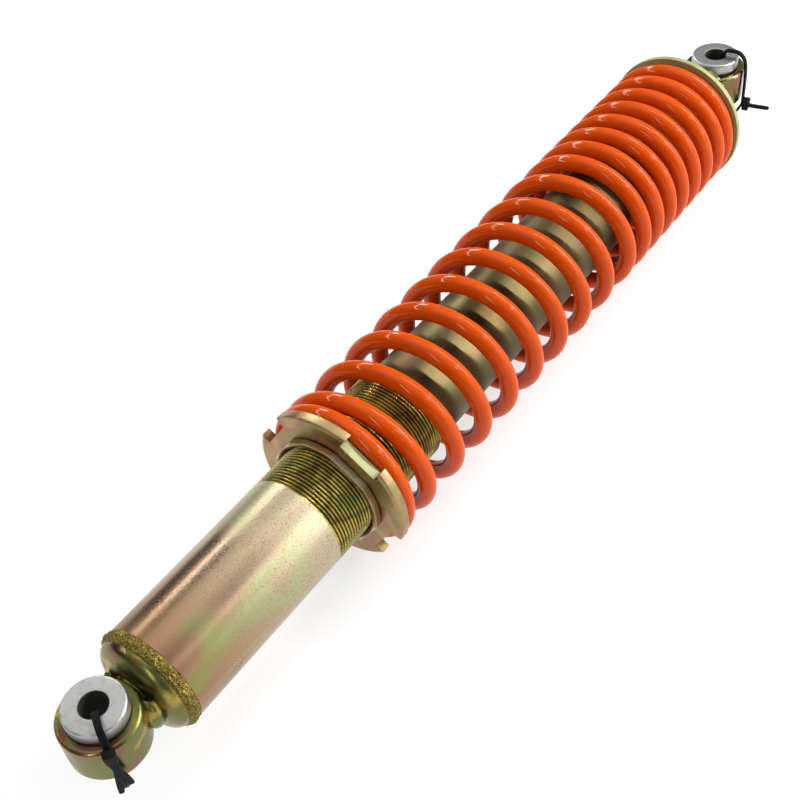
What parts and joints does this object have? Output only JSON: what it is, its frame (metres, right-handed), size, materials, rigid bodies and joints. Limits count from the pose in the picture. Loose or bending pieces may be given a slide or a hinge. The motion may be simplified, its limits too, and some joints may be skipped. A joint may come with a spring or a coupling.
{
  "type": "coil-over rear shock absorber",
  "caption": "Coil-over shock: threaded damper body with weld-on lower eye, notched preload collar, rising-rate coil spring, dished top seat and top-hat spacers in both eyes.",
  "frame": {"origin": "centre of the lower eye, on its bore axis halfway between the two spacers", "axes": "+X along the shock from the lower eye to the upper eye, +Z along both eye bores, away from the surface that the shock lies on"},
  "size_m": [0.4654, 0.067, 0.067],
  "materials": {
    "yellow_zinc": "glossy iridescent yellow zinc plating",
    "olive_zinc": "glossy green and gold zinc plating",
    "weld": "plated rough weld bead",
    "aluminium": "turned",
    "steel": "ground",
    "hard_chrome": "polished",
    "black_rubber": "matt",
    "black_nylon": "satin",
    "orange_paint": "gloss paint"
  },
  "bodies": {
    "damper": {"lower_eye": "olive_zinc", "end_cap": "olive_zinc", "eye_weld_left": "weld", "eye_weld_right": "weld", "tube_weld": "weld", "body_tube": "yellow_zinc", "pressure_tube": "steel", "base_valve": "steel", "rod_guide": "aluminium", "oil_seal": "black_rubber", "dust_cap": "black_nylon", "bump_stop": "black_rubber", "lower_bush_top": "black_rubber", "lower_bush_bottom": "black_rubber"},
    "spring_carrier": {"spring": "orange_paint"},
    "collar": {"spring_seat_ring": "yellow_zinc", "lock_ring": "yellow_zinc"},
    "rod": {"piston_rod": "hard_chrome", "piston": "steel", "piston_ring": "black_nylon", "piston_nut": "steel", "rebound_stop": "steel", "upper_spring_seat": "yellow_zinc", "rod_lock_nut": "yellow_zinc", "upper_eye": "olive_zinc", "upper_bush_top": "black_rubber", "upper_bush_bottom": "black_rubber"},
    "lower_spacers": {"lower_spacer_top": "aluminium", "lower_spacer_bottom": "aluminium", "lower_cable_tie": "black_nylon"},
    "upper_spacers": {"upper_spacer_top": "aluminium", "upper_spacer_bottom": "aluminium", "upper_cable_tie": "black_nylon"}
  },
  "joints": [
    {"name": "stroke", "type": "slide", "parent": "damper", "child": "rod", "axis": [-1, 0, 0], "range_m": [0, 0.042], "stiffness_N_per_m": 24000, "springref_m": -0.01, "deforming": ["spring"]},
    {"name": "preload_travel", "type": "slide", "parent": "damper", "child": "spring_carrier", "axis": [-1, 0, 0], "range_m": [0, 0.012]},
    {"name": "preload_turn", "type": "hinge", "parent": "spring_carrier", "child": "collar", "pos_m": [0.123, 0, 0], "axis": [-1, 0, 0], "range_deg": [0, 2880]},
    {"name": "lower_pivot", "type": "hinge", "parent": "damper", "child": "lower_spacers", "pos_m": [0, 0, 0], "axis": [0, 0, 1], "range_deg": [-20, 20]},
    {"name": "upper_pivot", "type": "hinge", "parent": "rod", "child": "upper_spacers", "pos_m": [0.436, 0, 0], "axis": [0, 0, 1], "range_deg": [-20, 20]}
  ],
  "couplings": [
    {"joint": "preload_turn", "follows": "preload_travel", "rad_per_m": 4188.8}
  ]
}
